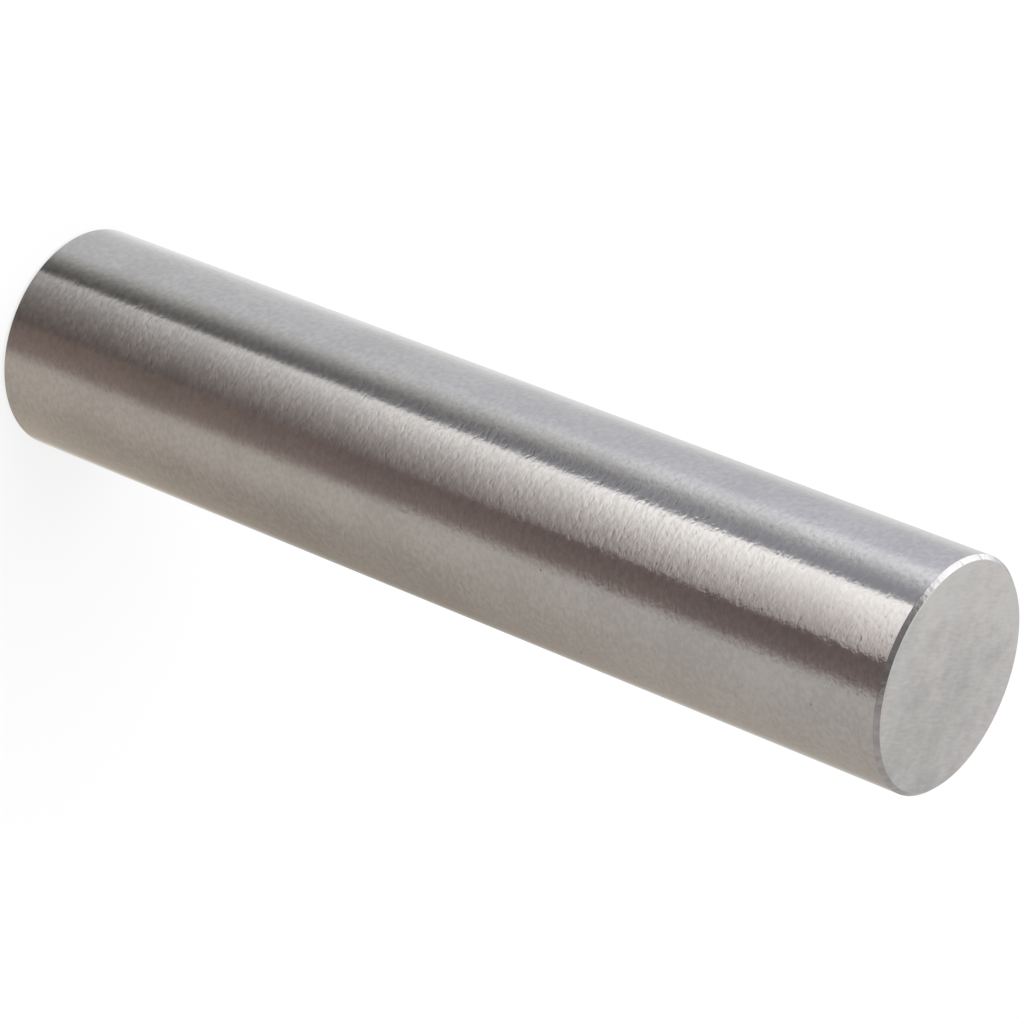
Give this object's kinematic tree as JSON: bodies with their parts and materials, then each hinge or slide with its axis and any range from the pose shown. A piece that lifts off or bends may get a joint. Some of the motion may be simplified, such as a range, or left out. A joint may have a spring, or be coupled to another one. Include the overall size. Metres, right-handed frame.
{
  "type": "plug gauge",
  "caption": "Plain cylindrical gauge pin of ground hardened steel, solid, with flat chamfered ends, for checking the size of a bore.",
  "frame": {"origin": "centre of the lower end face, on which the pin stands", "axes": "+Z along the pin's axis, upwards from the lower end face to the upper one"},
  "size_m": [0.011, 0.011, 0.0508],
  "materials": {
    "ground_steel": "ground round the axis, satin bright, with fine scratches"
  },
  "bodies": {
    "root": {"gauge_pin": "ground_steel"}
  },
  "joints": []
}
